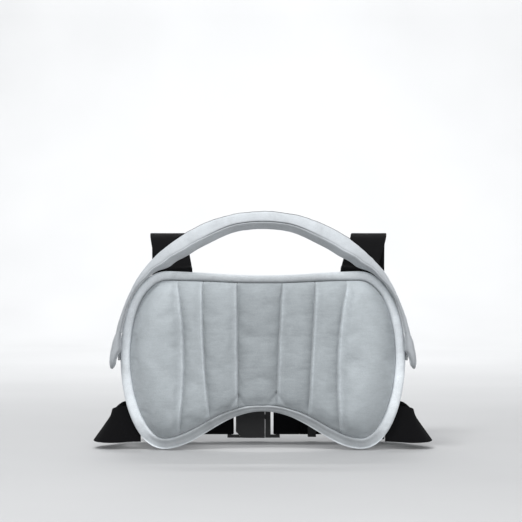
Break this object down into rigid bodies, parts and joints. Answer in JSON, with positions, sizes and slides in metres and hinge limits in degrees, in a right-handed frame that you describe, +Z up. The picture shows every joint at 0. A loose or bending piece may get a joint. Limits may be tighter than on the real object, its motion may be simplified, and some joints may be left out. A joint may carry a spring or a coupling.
{
  "type": "child seat head support",
  "caption": "Butterfly-shaped padded head cushion with a half-ring head band that swings down over the forehead and a webbing harness that ties it to a seat's headrest.",
  "frame": {"origin": "centre of the rear face of the back panel, on the seat's surface, level with the ends of the head band", "axes": "+X to the right of somebody facing the cushion, +Y back into the seat, +Z up"},
  "size_m": [0.3622, 0.132, 0.2518],
  "materials": {
    "plush_panel": "short-pile grey plush",
    "plush_roll": "short-pile light grey plush over a soft roll",
    "plush_band": "short-pile light grey plush",
    "backing_knit": "knitted backing cloth",
    "filling": "soft polyester and foam filling",
    "webbing": "black woven webbing",
    "moulded_plastic": "satin black moulded plastic",
    "hook_and_loop": "hook-and-loop tape"
  },
  "bodies": {
    "cushion": {"back_panel": "backing_knit", "edge_roll": "plush_roll", "cover_wing_left": "plush_panel", "cover_outer_left": "plush_panel", "cover_inner_left": "plush_panel", "cover_center": "plush_panel", "cover_inner_right": "plush_panel", "cover_outer_right": "plush_panel", "cover_wing_right": "plush_panel", "filling_wing_left": "filling", "filling_outer_left": "filling", "filling_inner_left": "filling", "filling_center": "filling", "filling_inner_right": "filling", "filling_outer_right": "filling", "filling_wing_right": "filling", "loop_patch_left": "hook_and_loop", "loop_patch_right": "hook_and_loop", "top_strap_left": "webbing", "top_strap_right": "webbing", "belt_left": "webbing", "belt_right": "webbing", "buckle_socket": "moulded_plastic"},
    "head_band": {"band_outer_cover": "plush_band", "band_inner_cover": "plush_band", "band_filling": "filling", "band_elastic": "webbing", "band_tab_left": "plush_band", "band_tab_right": "plush_band", "hook_patch_left": "hook_and_loop", "hook_patch_right": "hook_and_loop"},
    "slider_left": {"strap_slider_left": "moulded_plastic", "top_strap_tail_left": "webbing"},
    "slider_right": {"strap_slider_right": "moulded_plastic", "top_strap_tail_right": "webbing"},
    "keeper": {"belt_keeper": "moulded_plastic"},
    "plug": {"buckle_plug": "moulded_plastic", "belt_tail": "webbing"},
    "prong_upper": {"plug_prong_upper": "moulded_plastic"},
    "prong_lower": {"plug_prong_lower": "moulded_plastic"}
  },
  "joints": [
    {"name": "band_swing", "type": "hinge", "parent": "cushion", "child": "head_band", "pos_m": [0, -0.012, 0.008], "axis": [1, 0, 0], "range_deg": [0, 78]},
    {"name": "left_strap_adjust", "type": "slide", "parent": "cushion", "child": "slider_left", "axis": [0, 0, 1], "range_m": [-0.02, 0.045], "deforming": ["top_strap_tail_left"]},
    {"name": "right_strap_adjust", "type": "slide", "parent": "cushion", "child": "slider_right", "axis": [0, 0, 1], "range_m": [-0.02, 0.045], "deforming": ["top_strap_tail_right"]},
    {"name": "keeper_slide", "type": "slide", "parent": "cushion", "child": "keeper", "axis": [1, 0, 0], "range_m": [-0.003, 0.012]},
    {"name": "buckle_release", "type": "slide", "parent": "cushion", "child": "plug", "axis": [1, 0, 0], "range_m": [0, 0.024], "deforming": ["belt_tail", "plug_prong_upper", "plug_prong_lower"]},
    {"name": "upper_prong_press", "type": "hinge", "parent": "plug", "child": "prong_upper", "pos_m": [0.0019, 0.0882, -0.0545], "axis": [0, -1, 0], "range_deg": [0, 10], "stiffness_Nm_per_rad": 0.05},
    {"name": "lower_prong_press", "type": "hinge", "parent": "plug", "child": "prong_lower", "pos_m": [0.0019, 0.0882, -0.0765], "axis": [0, 1, 0], "range_deg": [0, 10], "stiffness_Nm_per_rad": 0.05}
  ],
  "couplings": [
    {"joint": "lower_prong_press", "follows": "upper_prong_press", "ratio": 1}
  ]
}
